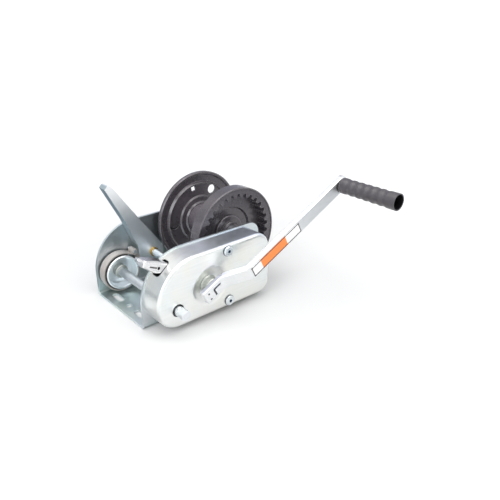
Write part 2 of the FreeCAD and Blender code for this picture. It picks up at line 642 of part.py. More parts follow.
def strap(x0, z0, x1, z1, thick, y0, y1):
    """Flat strip from one X, Z point to another."""
    length = math.hypot(x1 - x0, z1 - z0)
    nx = -(z1 - z0) / length * thick / 2
    nz = (x1 - x0) / length * thick / 2
    points = [vec(x0 + nx, y0, z0 + nz), vec(x1 + nx, y0, z1 + nz),
              vec(x1 - nx, y0, z1 - nz), vec(x0 - nx, y0, z0 - nz)]
    return Part.Face(Part.makePolygon(points + [points[0]])).extrude(vec(0, y1 - y0, 0))


BAND_MID = (BAND_INNER + BAND_OUTER) / 2
BAND_SHEET = BAND_OUTER - BAND_INNER
EYE_RADIUS = 5.0
FREE_X = 70.4
FREE_Z = 43.5
FREE_EYE = 4.4               # the free eye is a long loop, so the pin can travel
FREE_TRAVEL = 3.6
top_turn = math.radians(BAND_GAP_HIGH)
low_turn = math.radians(BAND_GAP_LOW)
top_x = LOW_X + BAND_MID * math.cos(top_turn)
top_z = LOW_Z + BAND_MID * math.sin(top_turn)
low_x = LOW_X + BAND_MID * math.cos(low_turn)
low_z = LOW_Z + BAND_MID * math.sin(low_turn)
band = open_ring(BAND_OUTER, BAND_INNER, BAND_NEAR, BAND_BACK, BAND_GAP_LOW, BAND_GAP_HIGH)
band = band.fuse(strap(top_x, top_z, top_x + 13.5 * math.sin(top_turn),
                       top_z - 13.5 * math.cos(top_turn), BAND_SHEET, BAND_NEAR, BAND_BACK))
band = band.fuse(rod(ANCHOR_X, ANCHOR_Z, EYE_RADIUS, BAND_NEAR, BAND_BACK))
band = band.fuse(strap(low_x, low_z, low_x - 12.5 * math.sin(low_turn),
                       low_z + 12.5 * math.cos(low_turn), BAND_SHEET, BAND_NEAR, BAND_BACK))
loop_x = (FREE_X - HIGH_X) / math.hypot(FREE_X - HIGH_X, FREE_Z - HIGH_Z)
loop_z = (FREE_Z - HIGH_Z) / math.hypot(FREE_X - HIGH_X, FREE_Z - HIGH_Z)
for radius, cut_out in ((FREE_EYE + 1.6, False), (FREE_EYE, True)):
    ends = [(FREE_X + loop_z * t, FREE_Z - loop_x * t) for t in (-1.2, FREE_TRAVEL)]
    loop = rod(ends[0][0], ends[0][1], radius, BAND_NEAR, BAND_BACK)
    loop = loop.fuse(rod(ends[1][0], ends[1][1], radius, BAND_NEAR, BAND_BACK))
    loop = loop.fuse(strap(ends[0][0], ends[0][1], ends[1][0], ends[1][1],
                           2 * radius, BAND_NEAR, BAND_BACK))
    band = band.cut(loop) if cut_out else band.fuse(loop)
band = band.cut(rod(ANCHOR_X, ANCHOR_Z, ANCHOR_PIN, BAND_NEAR - 1, BAND_BACK + 1))
band = band.cut(rod(LOW_X, LOW_Z, LINING_INNER, BAND_NEAR - 1, BAND_BACK + 1))
save("brake_band", band)
anchor = rod(ANCHOR_X, ANCHOR_Z, ANCHOR_PIN, BAND_NEAR - 0.6, HALF + 1.2)
save("band_anchor", anchor)

# ---- brake lever: folded plate that swings on the high gear shaft -----------------
LEVER_FACE = 43.4
LEVER_SHEET = 2.5
LEVER_BACK = 60.4
LEVER_BORE = 7.2
lever = plate([(24.0, 177.5, 2.5), (18.6, 171.5, 2.0), (45.4, 117.0, 0), (63.0, 72.0, 0),
               (66.0, 35.5, 7.0), (93.0, 34.5, 14.0), (107.5, 46.0, 14.0),
               (106.0, 63.0, 8.0), (70.3, 113.5, 0), (30.5, 172.0, 3.0)],
              LEVER_FACE, LEVER_FACE + LEVER_SHEET)
flange = plate([(18.6, 171.5, 0), (45.4, 117.0, 0), (63.0, 72.0, 0), (65.4, 72.9, 0),
                (47.8, 118.1, 0), (21.0, 172.7, 0)], LEVER_FACE, LEVER_BACK)
corner = plate([(18.6, 171.5, 0), (24.0, 177.5, 2.5), (26.0, 175.5, 0), (20.6, 169.9, 0)],
               LEVER_FACE, LEVER_BACK)
lever = lever.fuse(flange).fuse(corner)
lever = lever.cut(rod(HIGH_X, HIGH_Z, LEVER_BORE, LEVER_FACE - 1, LEVER_BACK + 1))
FREE_PIN = 3.6
lever = lever.cut(rod(FREE_X, FREE_Z, FREE_PIN, LEVER_FACE - 1, LEVER_BACK + 1))
save("brake_lever", lever)
save("lever_bush", ring(HIGH_X, HIGH_Z, LEVER_BORE, SHAFT_RADIUS + RUN_GAP,
                        LEVER_FACE - 2.8, LEVER_FACE + 4.0))
free_pin = rod(FREE_X, FREE_Z, FREE_PIN, LEVER_FACE - 2.0, BAND_BACK)
save("lever_pin", free_pin)

# ---- pawl and its folded thumb tab ---------------------------------------------------
PAWL_BACK = -70.0
PAWL_FACE = -74.0


TAIL = -25.0                 # the pawl's tail is let into the folded tab
pawl = plate([(TAIL, -8.5, 0), (3.0, -9.0, 6.0), (14.0, -3.0, 6.0), (34.0, 12.2, 4.0),
              (41.2, 12.6, 0.4), (41.0, 20.5, 3.0), (32.0, 19.5, 8.0), (8.0, 9.5, 6.0),
              (-6.0, 3.4, 6.0), (TAIL, 3.4, 0)], PAWL_FACE, PAWL_BACK)
pawl = pawl.cut(rod(0, 0, PAWL_PIN + RUN_GAP, PAWL_FACE - 1, PAWL_BACK + 1))
save("pawl", tab_place(pawl))

TAB_FACE = -86.0
TAB_WALL = 2.4
TAB_RIM = 3.2
TAB_HOLE = 2.2
TAB_GROOVE = 1.8
tab = plate([(-14.6, -12.4, 8.0), (-14.6, 4.7, 6.0), (-36.0, 4.7, 0), (-56.0, 1.8, 3.0),
             (-56.0, -8.4, 2.0), (-36.0, -12.4, 0)], TAB_FACE, PAWL_BACK)
rims = []
for edge in tab.Edges:
    size = edge.BoundBox
    if size.YLength < 0.01 and size.YMax < TAB_FACE + 0.01:
        rims.append(edge)
tab = tab.makeFillet(TAB_RIM, rims)
inside = plate([(-18.6, -9.6, 5.0), (-18.6, 1.4, 2.0), (-36.0, 1.4, 0), (-50.0, -0.6, 0),
                (-50.0, -5.6, 0), (-36.0, -9.6, 0)],
               TAB_FACE + TAB_WALL, PAWL_BACK - TAB_WALL)
tab = tab.cut(inside)
tip = plate([(-54.0, -3.2, 0), (-54.0, 0.8, 0), (-65.0, 2.8, 1.4), (-65.0, -1.2, 1.4)],
            -81.5, -75.5)
tab = tab.fuse(tip)
tab = tab.cut(rod(-31.5, -4.4, TAB_HOLE, TAB_FACE - 1, TAB_FACE + 5))
slot = plate([(-46.0, -6.0, 0.8), (-34.0, -5.6, 0.8), (-34.0, -3.4, 0.8), (-46.0, -3.8, 0.8)],
             TAB_FACE - 1, TAB_FACE + TAB_GROOVE)
tab = tab.cut(slot)
# The tab's root wraps the pawl plate, so the pawl's own thickness is left out.
tab = tab.cut(block(TAIL, -10.0, PAWL_FACE, PAWL_BACK, -14, 12))
save("thumb_tab", tab_place(tab))
pin = rod(PAWL_X, PAWL_Z, PAWL_PIN, -78.0, -INSIDE + 1.0)
pin = pin.fuse(rod(PAWL_X, PAWL_Z, 6.5, -78.0, -75.0))
pin = pin.fuse(ring(PAWL_X, PAWL_Z, 6.5, PAWL_PIN, -69.6, -HALF))
save("pawl_pin", pin)

# ---- crank arm: channel with a step from the hub out to the handle ------------------
HALF_WIDTH = CRANK_WIDTH / 2
ROOT_TAIL = -22.0
STEP_START = 14.0
STEP_END = 44.0
ARM_TIP = CRANK_RADIUS + 13.0


def arm_strip(front, back, low, high):
    """Sheet that follows the stepped arm, between two depths behind its face."""
    tilt = math.atan2(ROOT_FACE - ARM_FACE, STEP_END - STEP_START)
    lead = math.tan(tilt / 2)
    outline = []
    for depth, order in ((front, 1), (back, -1)):
        shift = depth * lead
        side = [(ROOT_TAIL, ROOT_FACE + depth, 0),
                (STEP_START + shift, ROOT_FACE + depth, 16.0 + depth),
                (STEP_END + shift, ARM_FACE + depth, 16.0 - depth),
                (ARM_TIP, ARM_FACE + depth, 0)]
        outline.extend(side[::order])
    wire = rounded_wire(outline, lambda a, b: vec(a, b, low))
    return Part.Face(wire).extrude(vec(0, 0, high - low))


arm = arm_strip(0, FLANGE_DEPTH, -HALF_WIDTH, HALF_WIDTH)
arm = arm.cut(arm_strip(CRANK_SHEET, FLANGE_DEPTH + 6, -HALF_WIDTH + CRANK_SHEET,
                        HALF_WIDTH - CRANK_SHEET))
end_wall = block(ARM_TIP - CRANK_SHEET, ARM_TIP, ARM_FACE, ARM_FACE + FLANGE_DEPTH,
                 -HALF_WIDTH, HALF_WIDTH)
arm = arm.fuse(end_wall)
mask = plate([(ROOT_TAIL, -HALF_WIDTH, 3.0), (ARM_TIP, -HALF_WIDTH, 8.0),
              (ARM_TIP, HALF_WIDTH, 8.0), (ROOT_TAIL, HALF_WIDTH, 3.0)],
             ARM_FACE - 5, ROOT_FACE + 20)
arm = arm.common(mask)
front_edges = []
for edge in arm.Edges:
    box = edge.BoundBox
    straight = abs(abs(box.ZMin) - HALF_WIDTH) < 0.01 and box.ZLength < 0.01
    if straight and box.YMax < ARM_FACE + 0.01 and box.XLength > 50:
        front_edges.append(edge)
    elif straight and box.XLength > 20 and abs(box.YMin - ROOT_FACE) < 0.01:
        front_edges.append(edge)
arm = arm.makeFillet(2.4, front_edges)
SPINDLE = 4.5
arm = arm.cut(rod(CRANK_RADIUS, 0, SPINDLE, ARM_FACE - 1, ARM_FACE + 12))
# A short relief slot eases the upper flange where the arm bends outwards.
arm = arm.cut(block(14.6, 20.6, -115.4, -114.0, HALF_WIDTH - CRANK_SHEET - 1, HALF_WIDTH + 1))
# The latch tongue is sheared from the hub end by one bent cut.
latch_outline = [(-5.8, -7.2, 1.3), (-2.9, -7.2, 1.3), (-2.9, 2.4, 0.8), (8.8, 2.4, 1.2),
                 (8.8, 5.3, 1.2), (-5.8, 5.3, 2.6)]
HUB_FACE = ROOT_FACE + CRANK_SHEET
arm = arm.cut(plate(latch_outline, ROOT_FACE - 1, HUB_FACE + 0.5))
RIVET_S = -14.2
RIVET_PLACES = (-6.1, 3.7)   # across the arm, lower and upper
RIVET_SINKS = (2.4, 0.4)     # how far each lies below the arm's face
RIVET = 1.5
RIVET_HEAD = RIVET + 0.3
for side in RIVET_PLACES:
    arm = arm.cut(rod(RIVET_S, side, RIVET, ROOT_FACE - 1, ROOT_FACE + 9))
save("crank_arm", crank_place(arm))
hub = plate([(-9.0, -7.8, 1.0), (12.0, -7.8, 1.0), (12.0, 7.8, 1.0), (-9.0, 7.8, 1.0)],
            HUB_FACE, HUB_BACK)
hub = hub.cut(rod(0, 0, DRIVE_RADIUS, HUB_FACE - 1, HUB_BACK + 1))
# The latch cut goes on into the hub as a dark pocket in front of the shaft's end.
hub = hub.cut(plate(latch_outline, HUB_FACE - 1, HUB_FACE + 3.0))
save("crank_hub", crank_place(hub))
LEAF = 1.2
leaf = block(-20.0, -9.5, HUB_FACE, HUB_FACE + LEAF, -7.8, 7.0)
for side in RIVET_PLACES:
    leaf = leaf.cut(rod(RIVET_S, side, RIVET, HUB_FACE - 1, HUB_FACE + 3))
save("latch_spring", crank_place(leaf))
rivets = []
for side, sink in zip(RIVET_PLACES, RIVET_SINKS):
    rivet = rod(RIVET_S, side, RIVET, ROOT_FACE + sink, HUB_FACE + LEAF)
    rivet = rivet.fuse(rod(RIVET_S, side, RIVET_HEAD, HUB_FACE + LEAF, HUB_FACE + LEAF + 0.8))
    rivets.append(crank_place(rivet))
save("latch_rivets", Part.makeCompound(rivets))
label = plate([(47.5, -8.6, 1.5), (147.5, -8.6, 1.5), (147.5, 7.8, 1.5), (47.5, 7.8, 1.5)],
              ARM_FACE - 0.3, ARM_FACE)
save("arm_label", crank_place(label))

# ---- handle spindle and grip ----------------------------------------------------------
GRIP_SEAT = -212.0
spindle = rod(CRANK_RADIUS, 0, SPINDLE, GRIP_SEAT - 5.0, ARM_FACE + CRANK_SHEET + 2.0)
spindle = spindle.fuse(rod(CRANK_RADIUS, 0, 7.0, GRIP_SEAT - 5.0, GRIP_SEAT - 0.6))
spindle = spindle.fuse(rod(CRANK_RADIUS, 0, 6.8, ARM_FACE + CRANK_SHEET,
                           ARM_FACE + CRANK_SHEET + 2.4))
spindle = spindle.fuse(rod(CRANK_RADIUS, 0, 8.2, GRIP_START + 0.4, ARM_FACE))
save("grip_spindle", crank_place(spindle))
WAVES = 6
WAVE_DEPTH = 1.0
STEPS = 48
outer = []
for i in range(STEPS + 1):
    part = i / STEPS
    y = GRIP_START + (GRIP_END - GRIP_START) * part
    ripple = 0.0
    if 0.08 < part < 0.86:
        ripple = WAVE_DEPTH * (1 - math.cos(2 * math.pi * WAVES * (part - 0.08) / 0.78)) / 2
    outer.append((GRIP_RADIUS - 0.6 - ripple + 0.6 * part, y))
outer[0] = (outer[0][0] - 0.8, GRIP_START)
MOUTH = 10.7
SLEEVE = SPINDLE + RUN_GAP
profile = outer + [(MOUTH, GRIP_END), (MOUTH, GRIP_SEAT), (SLEEVE, GRIP_SEAT),
                   (SLEEVE, GRIP_START)]
save("grip", crank_place(lathe(CRANK_RADIUS, 0, profile)))
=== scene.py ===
import json
import math

import bpy
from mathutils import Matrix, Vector


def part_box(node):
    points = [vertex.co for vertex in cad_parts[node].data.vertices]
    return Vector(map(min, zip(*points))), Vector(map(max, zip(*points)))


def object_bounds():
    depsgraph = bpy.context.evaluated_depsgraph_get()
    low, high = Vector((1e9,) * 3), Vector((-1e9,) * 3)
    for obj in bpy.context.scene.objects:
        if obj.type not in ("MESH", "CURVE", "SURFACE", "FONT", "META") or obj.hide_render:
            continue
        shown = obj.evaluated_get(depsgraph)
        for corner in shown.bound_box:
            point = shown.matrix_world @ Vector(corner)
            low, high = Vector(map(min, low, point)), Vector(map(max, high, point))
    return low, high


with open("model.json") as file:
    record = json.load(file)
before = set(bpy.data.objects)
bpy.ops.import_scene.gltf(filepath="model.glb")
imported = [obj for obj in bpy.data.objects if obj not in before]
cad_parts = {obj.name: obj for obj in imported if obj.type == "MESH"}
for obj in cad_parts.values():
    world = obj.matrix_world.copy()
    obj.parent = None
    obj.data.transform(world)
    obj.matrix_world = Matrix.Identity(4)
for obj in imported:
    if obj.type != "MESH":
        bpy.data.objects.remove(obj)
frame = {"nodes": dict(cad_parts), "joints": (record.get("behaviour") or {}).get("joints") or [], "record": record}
cad_low, cad_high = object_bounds()
NODES = frame["nodes"]
JOINTS = {j["name"]: j for j in frame["joints"]}
CRANK_PLACE = Vector(JOINTS["crank_spin"]["pos_m"])
GRIP_PLACE = Vector(JOINTS["grip_spin"]["pos_m"])
REEL_PLACE = Vector(JOINTS["reel_spin"]["pos_m"])

# ---- camera, as the photograph's ------------------------------------------------
LENS = 39.16                 # mm
SENSOR = 36.0                # mm
CAMERA_PLACE = Vector((-0.4140, -0.6442, 0.4194))
CAMERA_YAW = 41.08           # degrees from +Y towards +X
CAMERA_PITCH = 24.95         # degrees below level

# ---- measures on the object, in metres ---------------------------------------------
EDGE_ROUND = 0.0005          # shading radius on the sharp CAD edges
COAT_ROUND = 0.0008          # the same under the thicker dark coat
GRIP_ROUND = 0.0006          # the same on the moulded grip
BORE_SHADE = 0.0109          # the grip's bore is darker inside this radius
SCREW_HEAD = 0.0078          # from the side of a screw's box to its axis
SCREW_SOCKET = 0.0024        # radius of the painted shade in a screw's recess
TUBE_GLINT_RADII = (0.0242, 0.0258)   # radii about the reel axis that bound the painted glint on the tube
ROOT_REACH = 0.030           # the arm's root is within this distance of the crank axis
TIP_FADE = 0.010             # the painted light on the lever's tip is at its brightest this far below its top
TOP_START = 0.3              # share of the case's length where the painted blue reflection on its top begins
TOP_FADE = 0.05              # and that painted reflection is at its bluest this far from the rear
GROOVE_DEPTH = 0.0018        # from the thumb tab's front to the groove's floor
GROOVE_MATCH = 0.0002        # depth tolerance of that floor
LABEL_ORANGE = (0.185, 0.70)    # shares of the label's length that the orange fills
LABEL_GAP = 0.0010           # from the label's edge to the outline's middle
LABEL_RULE = 0.0008          # half the outline's width

# ---- shares and levels of the surface textures -----------------------------------
BEVEL_SAMPLES = 6
EDGE_LEVELS = (0.995, 0.90)  # cosine between flat and rounded normal, off and on an edge
NOISE_SPAN = (0.3, 0.7)      # most of a noise texture's values lie between these
WARM_SHARE = 0.6             # the warm tint's strength against the cool tint's
PLATE_GRAIN = (420.0, 14.0)  # noise scale across and along the rolled grain
PLATE_WEAR = 0.35            # how far an edge goes to bare bright metal
LATHE_GRAIN = (5200.0, 60.0)    # noise scale along and across a turned piece's axis
FLOW_GRAIN = (18.0, 150.0)   # noise scale along and across the grip
WEAVE_GRAIN = (1500.0, 420.0)   # noise scale along and across the lining
ZONE_STRENGTH = 0.9          # how far a zone of painted light and shade goes to its colour
FACE_ON = (0.5, 0.9)         # facing cosines, off and on, of a flat face
FLANK_ON = (0.35, 0.75)      # the same, of the lever's folded edge
TOP_ON = (0.35, 0.9)         # the same, of the case's top

# ---- floor, lights, cards and studio, in metres, watts and linear light -------------
FLOOR_SIZE = 600.0           # far enough for the floor to reach the top of the view
FLOOR_DROP = 0.0002          # the floor lies this far under the object
FLOOR_GLOW = (0.25, 1.0, 0.5)   # start and end distance, then the glow beyond it
FLOOR_SHADES = ((0.62, 0.62, 0.62), (0.60, 0.602, 0.604))
LIGHTS = (
    # name, place, target, size, power, colour
    ("key", (0.5, -1.3, 1.9), (0.05, 0, 0.08), (1.6, 1.2), 14, (1, 1, 1)),
    ("left_fill", (-1.5, -0.5, 1.0), (0, 0, 0.08), (1.0, 1.2), 14, (0.97, 0.985, 1.0)),
    ("overhead", (-0.15, 0.1, 1.5), (0, 0, 0.05), (1.2, 1.2), 12, (1, 1, 1)),
)
CARDS = (
    # name, centre, size, colour, turn about Z
    ("card_behind", (-0.15, 0.485, 0.004), (1.2, 0.81), (0.22, 0.27, 0.31), 0),
    ("card_left", (-0.135, -0.08, 0.004), (0.055, 0.10), (0.62, 0.63, 0.64), 0),
    ("card_right", (0.85, -0.62, 0.004), (0.9, 1.0), (0.62, 0.64, 0.66), 0.3),
)
STUDIO_LOW = (0.86, 0.88, 0.90)     # the studio's colour near the floor
STUDIO_HIGH = (1.05, 1.05, 1.04)    # and overhead
STUDIO_RISE = (-0.1, 0.9)    # upward cosines between which low turns into high
STUDIO_SIDES = (
    # direction, cosine where it starts, cosine where it is full, colour
    ((0.5, 0.85, 0.30), 0.72, 0.97, (0.44, 0.46, 0.55)),
    ((-0.8, 0.55, 0.25), 0.70, 0.98, (0.60, 0.64, 0.68)),
)


# ---- node helpers ---------------------------------------------------------------
class Graph:
    """Small builder for one node tree."""

    def __init__(self, tree, coords="Object"):
        self.tree = tree
        place = self.add("ShaderNodeTexCoord")
        self.coords = place.outputs[coords]
        self.normal = place.outputs["Normal"]

    def add(self, kind, inputs=None, **settings):
        """New node with its settings made and its inputs fed."""
        node = self.tree.nodes.new(kind)
        for key, value in settings.items():
            setattr(node, key, value)
        for key, value in (inputs or {}).items():
            self.feed(node.inputs[key], value)
        return node

    def feed(self, socket, value):
        """Link a socket to another node's output, or set its own value."""
        if isinstance(value, bpy.types.NodeSocket):
            self.tree.links.new(value, socket)
        elif isinstance(value, tuple) and len(value) == 3 and socket.type == "RGBA":
            socket.default_value = (*value, 1.0)
        else:
            socket.default_value = value

    def math(self, operation, a, b=0.0, clamp=False):
        node = self.add("ShaderNodeMath", {0: a, 1: b}, operation=operation, use_clamp=clamp)
        return node.outputs[0]

    def times(self, a, b):
        return self.math("MULTIPLY", a, b)

    def vector(self, operation, a, b=None):
        """Vector arithmetic. A dot product or a length gives a number."""
        inputs = {0: a} if b is None else {0: a, 1: b}
        node = self.add("ShaderNodeVectorMath", inputs, operation=operation)
        return node.outputs["Value" if operation in ("DOT_PRODUCT", "LENGTH") else "Vector"]

    def mapped(self, scale):
        return self.add("ShaderNodeMapping", {"Vector": self.coords, "Scale": scale}).outputs[0]

    def noise(self, scale, detail=2.0, rough=0.5, coords=None):
        node = self.add("ShaderNodeTexNoise", {"Vector": coords or self.coords, "Scale": scale,
                                               "Detail": detail, "Roughness": rough})
        return node.outputs["Fac"]

    def grain(self, scales, detail, rough):
        """Noise with its own scale along each axis."""
        return self.noise(1.0, detail, rough, self.mapped(scales))

    def cells(self, scale):
        node = self.add("ShaderNodeTexVoronoi", {"Vector": self.coords, "Scale": scale})
        return node.outputs["Distance"]

    def span(self, value, low, high, to_low=0.0, to_high=1.0, ease="LINEAR"):
        """Map one range of a value onto another, clamped."""
        node = self.add("ShaderNodeMapRange", {"Value": value, "From Min": low,
                                               "From Max": high, "To Min": to_low,
                                               "To Max": to_high}, interpolation_type=ease)
        return node.outputs[0]

    def patches(self, scale, low, high, detail=2.0, rough=0.5):
        """Noise patches: 0 where the noise is under low, 1 where it is over high."""
        return self.span(self.noise(scale, detail, rough), low, high)

    def blend(self, share, a, b, mode="MIX"):
        node = self.add("ShaderNodeMix", {0: share, 6: a, 7: b}, data_type="RGBA",
                        blend_type=mode)
        return node.outputs[2]

    def facing(self, direction, start, end):
        """Mask that grows where the piece's own surface faces a direction."""
        return self.span(self.vector("DOT_PRODUCT", self.normal, direction), start, end)

    def axis(self, letter):
        """One coordinate of the surface point."""
        return self.add("ShaderNodeSeparateXYZ", {0: self.coords}).outputs[letter]

    def near_axis(self, place, radius):
        """Mask that is 1 within a radius of a line along Y."""
        off = self.vector("SUBTRACT", self.coords, place)
        flat = self.vector("MULTIPLY", off, (1, 0, 1))
        return self.math("LESS_THAN", self.vector("LENGTH", flat), radius)

    def near_value(self, value, middle, reach):
        """Mask that is 1 where a value is within reach of a middle."""
        off = self.math("ABSOLUTE", self.math("SUBTRACT", value, middle))
        return self.math("LESS_THAN", off, reach)

    def bump(self, height, strength, distance, normal=None):
        inputs = {"Strength": strength, "Distance": distance, "Height": height}
        if normal is not None:
            inputs["Normal"] = normal
        return self.add("ShaderNodeBump", inputs).outputs[0]

    def soft_edges(self, radius=EDGE_ROUND):
        """Normal with rounded edges, and a mask that is 1 along those edges."""
        bevel = self.add("ShaderNodeBevel", {"Radius": radius}, samples=BEVEL_SAMPLES)
        rounded = bevel.outputs[0]
        flat = self.add("ShaderNodeNewGeometry").outputs["Normal"]
        return rounded, self.span(self.vector("DOT_PRODUCT", rounded, flat), *EDGE_LEVELS)


class Shader(Graph):
    """Node tree of one new material."""

    def __init__(self, name):
        self.material = bpy.data.materials.new(name)
        self.material.use_nodes = True
        super().__init__(self.material.node_tree)
        self.surface = self.tree.nodes["Principled BSDF"]

    def done(self, **inputs):
        """Feed the surface's inputs and hand over the material."""
        for name, value in inputs.items():
            self.feed(self.surface.inputs[name.replace("_", " ")], value)
        return self.material


def scaled(colour, factor):
    return tuple(min(1.0, c * factor) for c in colour)


# ---- zones: parts of a piece with painted light and shade ---------------------------
def screw_recess_painted_shade(s):
    """Painted shade, dark blue, in the hexagon recess of both cover screws."""
    low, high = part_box("cover_screws")
    upper = (low[0] + SCREW_HEAD, 0, high[2] - SCREW_HEAD)
    lower = (high[0] - SCREW_HEAD, 0, low[2] + SCREW_HEAD)
    mask = s.math("MAXIMUM", s.near_axis(upper, SCREW_SOCKET),
                  s.near_axis(lower, SCREW_SOCKET))
    return mask, (0.10, 0.16, 0.25)


def blue_top_painted_reflection(s):
    """Painted blue reflection on the rear of the drawn case's upper wall."""
    low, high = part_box("gear_cover")
    start = low[0] + TOP_START * (high[0] - low[0])
    rearward = s.span(s.axis("X"), start, high[0] - TOP_FADE)
    mask = s.times(s.facing((0, 0, 1), *TOP_ON), rearward)
    return s.times(mask, ZONE_STRENGTH), (0.82, 0.88, 1.0)


def lever_flank_painted_shade(s):
    """Painted shade, dull teal, on the lever's folded edge where it faces left."""
    return s.times(s.facing((-1, 0, 0), *FLANK_ON), ZONE_STRENGTH), (0.44, 0.52, 0.56)


def lever_tip_painted_light(s):
    """Painted light on the front of the lever's upper part, brightest near its top."""
    low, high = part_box("brake_lever")
    middle = (low[2] + high[2]) / 2
    rise = s.span(s.axis("Z"), middle, high[2] - TIP_FADE)
    return s.times(rise, s.facing((0, -1, 0), *FACE_ON)), (0.98, 0.99, 1.0)


def arm_root_painted_shade(s):
    """Painted shade, dim and bluish, on the arm's upper flange over its hub."""
    reach = (GRIP_PLACE - CRANK_PLACE).normalized()
    flange = s.facing((-reach.z, 0, reach.x), *FACE_ON)
    mask = s.times(flange, s.near_axis(CRANK_PLACE, ROOT_REACH))
    return s.times(mask, ZONE_STRENGTH), (0.46, 0.47, 0.58)


def tab_groove_painted_shade(s):
    """Painted shade on the floor of the groove pressed into the thumb tab."""
    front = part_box("thumb_tab")[0][1]
    return s.near_value(s.axis("Y"), front + GROOVE_DEPTH, GROOVE_MATCH), (0.16, 0.15, 0.15)


# ---- materials ----------------------------------------------------------------------
def plated(name, base, cool, warm, rough, tint=0.5, grain="", painted_zones=()):
    """Zinc plate: broad tints, faint rolled grain along one axis and bright edges."""
    s = Shader(name)
    rounded, edge = s.soft_edges()
    cool_patches = s.patches(scale=13.0, low=0.36, high=0.64)
    warm_patches = s.patches(scale=23.0, low=0.45, high=0.70)
    across, along = PLATE_GRAIN
    streaks = s.grain(tuple(along if axis == grain else across for axis in "XYZ"),
                      detail=3.0, rough=0.55)
    smears = s.noise(scale=95.0, detail=4.0, rough=0.6)
    shade = s.span(streaks, *NOISE_SPAN, to_low=0.965, to_high=1.02)
    grey = s.add("ShaderNodeCombineColor", {0: shade, 1: shade, 2: shade}).outputs[0]
    colour = s.blend(s.times(cool_patches, tint), base, cool)
    colour = s.blend(s.times(warm_patches, tint * WARM_SHARE), colour, warm)
    colour = s.blend(1.0, colour, grey, "MULTIPLY")
    colour = s.blend(s.times(edge, PLATE_WEAR), colour, scaled(base, 1.14))
    gloss = s.span(smears, *NOISE_SPAN, to_low=rough - 0.03, to_high=rough + 0.05)
    gloss = s.math("SUBTRACT", gloss, s.times(edge, 0.06), clamp=True)
    # Each zone blends painted light and shade into the colour.
    for zone in painted_zones:
        mask, painted_colour = zone(s)
        colour = s.blend(mask, colour, painted_colour)
    normal = s.bump(streaks, strength=0.05, distance=0.0001, normal=rounded)
    return s.done(Base_Color=colour, Metallic=1.0, Roughness=gloss, Normal=normal)


def turned(name, base, rough):
    """Turned steel: fine lathe lines along the shaft and a little oil tint."""
    s = Shader(name)
    rounded, edge = s.soft_edges()
    along, across = LATHE_GRAIN
    lines = s.grain((across, along, across), detail=2.0, rough=0.5)
    stain = s.patches(scale=90.0, low=0.40, high=0.70, detail=3.0, rough=0.6)
    colour = s.blend(s.times(stain, 0.45), base, scaled(base, 0.72))
    colour = s.blend(s.times(edge, 0.4), colour, scaled(base, 1.2))
    gloss = s.span(lines, *NOISE_SPAN, to_low=rough - 0.05, to_high=rough + 0.07)
    normal = s.bump(lines, strength=0.16, distance=0.0001, normal=rounded)
    return s.done(Base_Color=colour, Metallic=1.0, Roughness=gloss, Normal=normal)


def coated(name, base, rub_and_highlight, rough):
    """Dark dip coat on pressed steel: orange peel, dust, rubbed edges and painted highlights."""
    s = Shader(name)
    rounded, edge = s.soft_edges(COAT_ROUND)
    peel = s.noise(scale=620.0)
    dust = s.patches(scale=60.0, low=0.40, high=0.75, detail=4.0, rough=0.65)
    broken = s.patches(scale=300.0, low=0.35, high=0.65, detail=3.0, rough=0.6)
    inside, outside = TUBE_GLINT_RADII
    # Painted glint: the reel's tube is drawn lighter between these radii.
    tube_glint = s.math("SUBTRACT", s.near_axis(REEL_PLACE, outside), s.near_axis(REEL_PLACE, inside))
    # Edges are partly rubbed and partly painted brighter as a highlight.
    rubbed_and_highlit = s.times(s.times(edge, s.span(broken, 0, 1, to_low=0.5, to_high=1.0)), 0.75)
    colour = s.blend(s.times(dust, 0.16), base, scaled(base, 1.4))
    colour = s.blend(tube_glint, colour, scaled(base, 2.1))
    colour = s.blend(rubbed_and_highlit, colour, rub_and_highlight)
    gloss = s.span(dust, 0, 1, to_low=rough - 0.02, to_high=rough + 0.05)
    normal = s.bump(peel, strength=0.07, distance=0.0003, normal=rounded)
    return s.done(Base_Color=colour, Metallic=0.3, Roughness=gloss, Normal=normal,
                  Coat_Weight=0.6, Coat_Roughness=0.16)


def moulded(name, base, rough):
    """Moulded grip plastic: fine stipple, faint flow marks and hand shine."""
    s = Shader(name)
    rounded, edge = s.soft_edges(GRIP_ROUND)
    stipple = s.cells(scale=1900.0)
    along, across = FLOW_GRAIN
    streaks = s.grain((across, along, across), detail=3.0, rough=0.55)
    flow = s.span(streaks, low=0.35, high=0.7)
    shine = s.patches(scale=70.0, low=0.35, high=0.7, detail=3.0, rough=0.6)
    bore = s.near_axis(GRIP_PLACE, BORE_SHADE)
    colour = s.blend(s.times(flow, 0.5), base, scaled(base, 1.55))
    colour = s.blend(s.times(edge, 0.5), colour, scaled(base, 2.2))
    colour = s.blend(bore, colour, (0.004, 0.004, 0.005))
    gloss = s.span(shine, 0, 1, to_low=rough - 0.08, to_high=rough + 0.08)
    normal = s.bump(stipple, strength=0.22, distance=0.0002, normal=rounded)
    return s.done(Base_Color=colour, Roughness=gloss, Normal=normal)


def woven(name, base, fleck, rough):
    """Brake lining: coarse woven friction strip with metal flecks."""
    s = Shader(name)
    along, across = WEAVE_GRAIN
    weave = s.grain((across, along, across), detail=1.0, rough=0.5)
    flecks = s.span(s.cells(scale=900.0), low=0.12, high=0.05, to_high=0.7)
    colour = s.blend(s.span(weave, low=0.4, high=0.6), base, scaled(base, 0.55))
    colour = s.blend(flecks, colour, fleck)
    normal = s.bump(weave, strength=0.5, distance=0.0004)
    return s.done(Base_Color=colour, Roughness=rough, Normal=normal)


